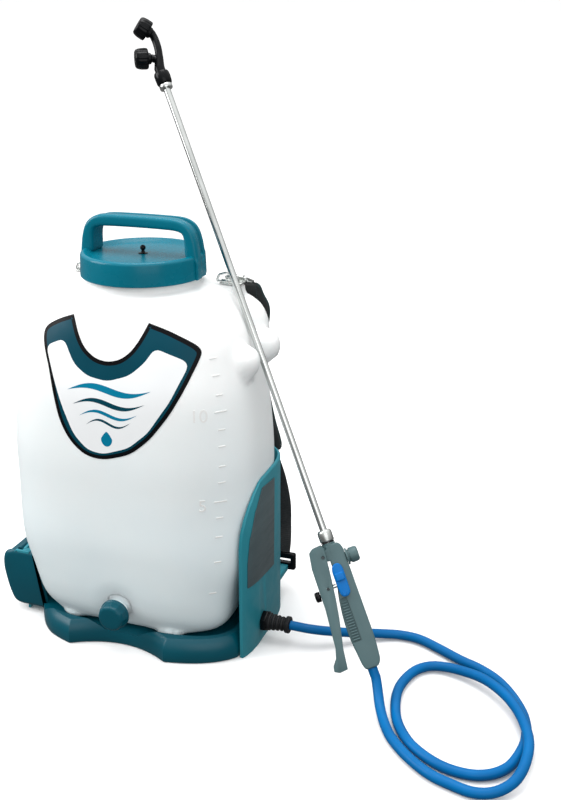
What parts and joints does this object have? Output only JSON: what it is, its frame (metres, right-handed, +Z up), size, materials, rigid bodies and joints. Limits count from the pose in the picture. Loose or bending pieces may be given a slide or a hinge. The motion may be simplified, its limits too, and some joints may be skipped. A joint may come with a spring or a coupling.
{
  "type": "backpack sprayer",
  "caption": "Cordless backpack sprayer: milky tank with screw cap and carrying handle, teal base and pump housing, shoulder straps, blue hose, lever gun, straight lance and twin nozzle.",
  "frame": {"origin": "on the floor plane of the base tray, under the axis of the filler neck", "axes": "+X to the right of the label face as seen from in front, -Y out of the label face, +Y to the wearer, +Z up"},
  "size_m": [0.6645, 0.3544, 0.6991],
  "materials": {
    "milky_tank": "translucent milky blow-moulded plastic",
    "teal_case": "moulded semi-gloss",
    "black_rubber": "matt",
    "black_plastic": "moulded satin",
    "diecast_grey": "satin painted die-casting",
    "bright_steel": "bright",
    "hose_blue": "satin",
    "blue_plastic": "moulded",
    "webbing": "woven",
    "foam": "mesh-faced foam",
    "white_plastic": "moulded",
    "grey_plate": "printed blank"
  },
  "bodies": {
    "sprayer": {"tank": "milky_tank", "strainer_basket": "white_plastic", "base_tray": "teal_case", "rear_housing": "teal_case", "cover_pin": "bright_steel", "side_plate": "grey_plate", "battery": "black_plastic", "pump_head": "black_plastic", "suction_tube": "black_rubber", "pump_motor": "bright_steel", "controller_box": "black_plastic", "delivery_tube": "black_rubber", "hose_gland": "black_rubber", "gland_nut": "black_plastic", "gun_body": "diecast_grey", "grip_insert": "black_rubber", "lever_pin": "bright_steel", "collar_seal": "black_rubber", "lance_tube": "bright_steel", "nozzle_fork": "black_plastic", "spray_hose": "hose_blue", "back_pad": "foam", "hook_bracket_left": "bright_steel", "bracket_screw_left": "bright_steel", "strap_ring_left": "bright_steel", "shoulder_pad_left": "foam", "strap_web_left": "webbing", "strap_buckle_left": "black_plastic", "hook_bracket_right": "bright_steel", "bracket_screw_right": "bright_steel", "strap_ring_right": "bright_steel", "shoulder_pad_right": "foam", "strap_web_right": "webbing", "strap_buckle_right": "black_plastic"},
    "cap_seal_body": {"cap_gasket": "black_rubber"},
    "cap_body": {"filler_cap": "teal_case", "vent_valve": "black_rubber"},
    "drain_seal_body": {"drain_seal": "black_rubber"},
    "drain_cap_body": {"drain_cap": "teal_case"},
    "cover_body": {"battery_cover": "teal_case"},
    "dial_body": {"pressure_dial": "black_plastic"},
    "shaft_body": {"drive_shaft": "bright_steel"},
    "lever_body": {"gun_lever": "diecast_grey", "link_pin": "bright_steel"},
    "rod_body": {"valve_rod": "bright_steel"},
    "knob_body": {"lever_knob": "black_plastic"},
    "latch_body": {"lever_latch": "blue_plastic"},
    "plug_body": {"side_plug": "black_plastic"},
    "collar_body": {"collar_nut": "bright_steel"},
    "union_body": {"union_nut": "black_plastic"},
    "nozzle_low_body": {"nozzle_cap_low": "black_plastic"},
    "nozzle_high_body": {"nozzle_cap_high": "black_plastic"},
    "hook_left_body": {"hook_latch_left": "bright_steel"},
    "hook_right_body": {"hook_latch_right": "bright_steel"}
  },
  "joints": [
    {"name": "cap_rise", "type": "slide", "parent": "sprayer", "child": "cap_seal_body", "axis": [0, 0, 1], "range_m": [0, 0.0121]},
    {"name": "cap_turn", "type": "hinge", "parent": "cap_seal_body", "child": "cap_body", "pos_m": [0, 0, 0.4276], "axis": [0, 0, 1], "range_deg": [0, 720]},
    {"name": "drain_rise", "type": "slide", "parent": "sprayer", "child": "drain_seal_body", "axis": [0, -1, 0], "range_m": [0, 0.0061]},
    {"name": "drain_turn", "type": "hinge", "parent": "drain_seal_body", "child": "drain_cap_body", "pos_m": [0, -0.127, 0.05], "axis": [0, -1, 0], "range_deg": [0, 720]},
    {"name": "cover_swing", "type": "hinge", "parent": "sprayer", "child": "cover_body", "pos_m": [-0.156, 0, 0.08], "axis": [0, 1, 0], "range_deg": [0, 95]},
    {"name": "dial_turn", "type": "hinge", "parent": "sprayer", "child": "dial_body", "pos_m": [-0.1521, -0.005, 0.145], "axis": [-1, 0, 0], "range_deg": [0, 270]},
    {"name": "shaft_spin", "type": "hinge", "parent": "sprayer", "child": "shaft_body", "pos_m": [0.05, 0.054, 0.0523], "axis": [1, 0, 0], "continuous": true},
    {"name": "lever_squeeze", "type": "hinge", "parent": "sprayer", "child": "lever_body", "pos_m": [0.2385, -0.07433, 0.14547], "axis": [0.2679, -0.8624, 0.4294], "range_deg": [0, 6], "stiffness_Nm_per_rad": 6, "springref_deg": -2.86},
    {"name": "rod_push", "type": "slide", "parent": "sprayer", "child": "rod_body", "axis": [0.8516, 0.4205, 0.3132], "range_m": [0, 0.0037]},
    {"name": "knob_turn", "type": "hinge", "parent": "lever_body", "child": "knob_body", "pos_m": [0.24236, -0.09209, 0.1074], "axis": [-0.8516, -0.4205, -0.3132], "range_deg": [0, 180]},
    {"name": "latch_swing", "type": "hinge", "parent": "sprayer", "child": "latch_body", "pos_m": [0.2658, -0.08274, 0.11156], "axis": [-0.2679, 0.8624, -0.4294], "range_deg": [0, 20]},
    {"name": "plug_turn", "type": "hinge", "parent": "sprayer", "child": "plug_body", "pos_m": [0.26236, -0.06638, 0.14655], "axis": [0.8516, 0.4205, 0.3132], "range_deg": [0, 360]},
    {"name": "collar_turn", "type": "hinge", "parent": "sprayer", "child": "collar_body", "pos_m": [0.24077, -0.06575, 0.1613], "axis": [-0.4506, 0.2818, 0.8471], "range_deg": [0, 360]},
    {"name": "union_turn", "type": "hinge", "parent": "sprayer", "child": "union_body", "pos_m": [-0.00475, 0.08777, 0.62278], "axis": [-0.4506, 0.2818, 0.8471], "range_deg": [0, 360]},
    {"name": "nozzle_low_turn", "type": "hinge", "parent": "sprayer", "child": "nozzle_low_body", "pos_m": [-0.03047, 0.09524, 0.65434], "axis": [-0.8385, -0.5447, -0.0185], "range_deg": [0, 360]},
    {"name": "nozzle_high_turn", "type": "hinge", "parent": "sprayer", "child": "nozzle_high_body", "pos_m": [-0.03549, 0.10919, 0.68297], "axis": [-0.7358, -0.3985, 0.5474], "range_deg": [0, 360]},
    {"name": "hook_left_swing", "type": "hinge", "parent": "sprayer", "child": "hook_left_body", "pos_m": [-0.09, 0.0335, 0.4172], "axis": [1, 0, 0], "range_deg": [0, 60]},
    {"name": "hook_right_swing", "type": "hinge", "parent": "sprayer", "child": "hook_right_body", "pos_m": [0.09, 0.0335, 0.4172], "axis": [1, 0, 0], "range_deg": [0, 60]}
  ],
  "couplings": [
    {"joint": "cap_rise", "follows": "cap_turn", "m_per_rad": 0.00095493},
    {"joint": "drain_rise", "follows": "drain_turn", "m_per_rad": 0.00047746},
    {"joint": "rod_push", "follows": "lever_squeeze", "m_per_rad": 0.0336}
  ]
}
